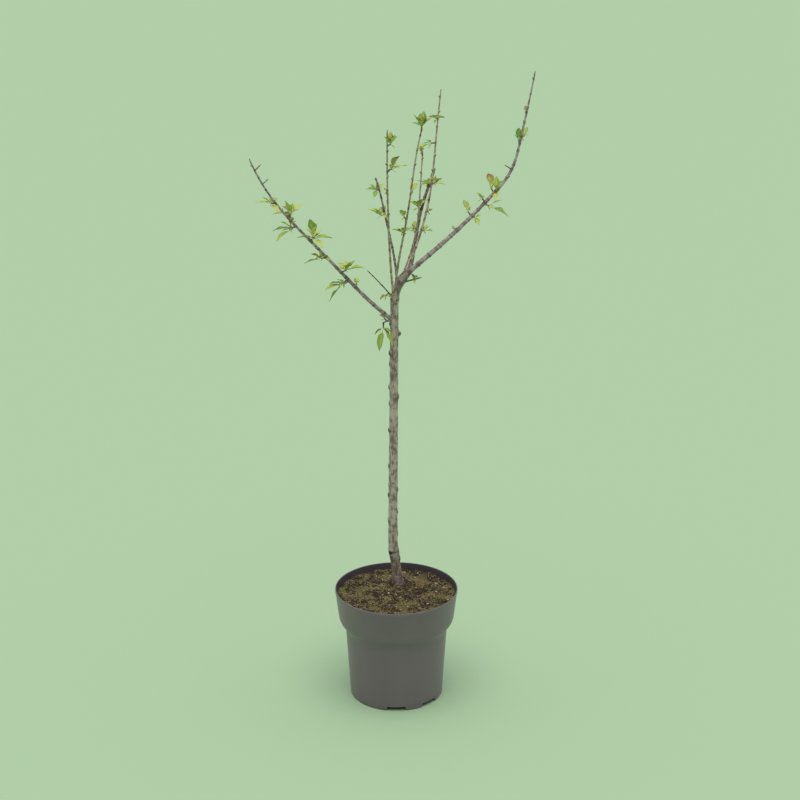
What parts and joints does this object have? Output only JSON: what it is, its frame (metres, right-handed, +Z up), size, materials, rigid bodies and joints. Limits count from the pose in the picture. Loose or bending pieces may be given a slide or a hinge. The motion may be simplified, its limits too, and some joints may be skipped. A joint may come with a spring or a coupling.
{
  "type": "potted sweet cherry tree",
  "caption": "Young grafted sweet cherry tree with a slim knotted stem and an open crown of shoots coming into leaf, in a round tapered nursery pot filled with soil.",
  "frame": {"origin": "centre of the pot's flat underside, where it stands on the floor", "axes": "+Z up along the pot's axis; -Y is the front, the side that the picture shows; +X to its right"},
  "size_m": [0.4686, 0.2976, 1.1178],
  "materials": {
    "pot": "moulded grey plastic, satin matt",
    "soil": "coarse compost with moss and dry fibre",
    "bark": "grey-brown young bark with pale lenticels and dark knots",
    "leaf": "soft young yellow-green leaves on grey-brown twigs"
  },
  "bodies": {
    "root": {"pot": "pot", "soil": "soil", "trunk": "bark", "bough_left": "bark", "bough_right": "bark", "bough_leader": "bark", "bough_rough": "bark", "bough_pale": "bark", "bough_front": "bark", "bough_left_front": "bark", "bough_left_back": "bark", "leaves_left": "leaf", "leaves_right": "leaf", "leaves_leader": "leaf", "leaves_rough": "leaf", "leaves_pale": "leaf", "leaves_front": "leaf", "leaves_left_front": "leaf", "leaves_left_back": "leaf", "leaves_hanging_spur": "leaf", "leaves_thin_twig": "leaf", "leaves_short_spur": "leaf"}
  },
  "joints": []
}
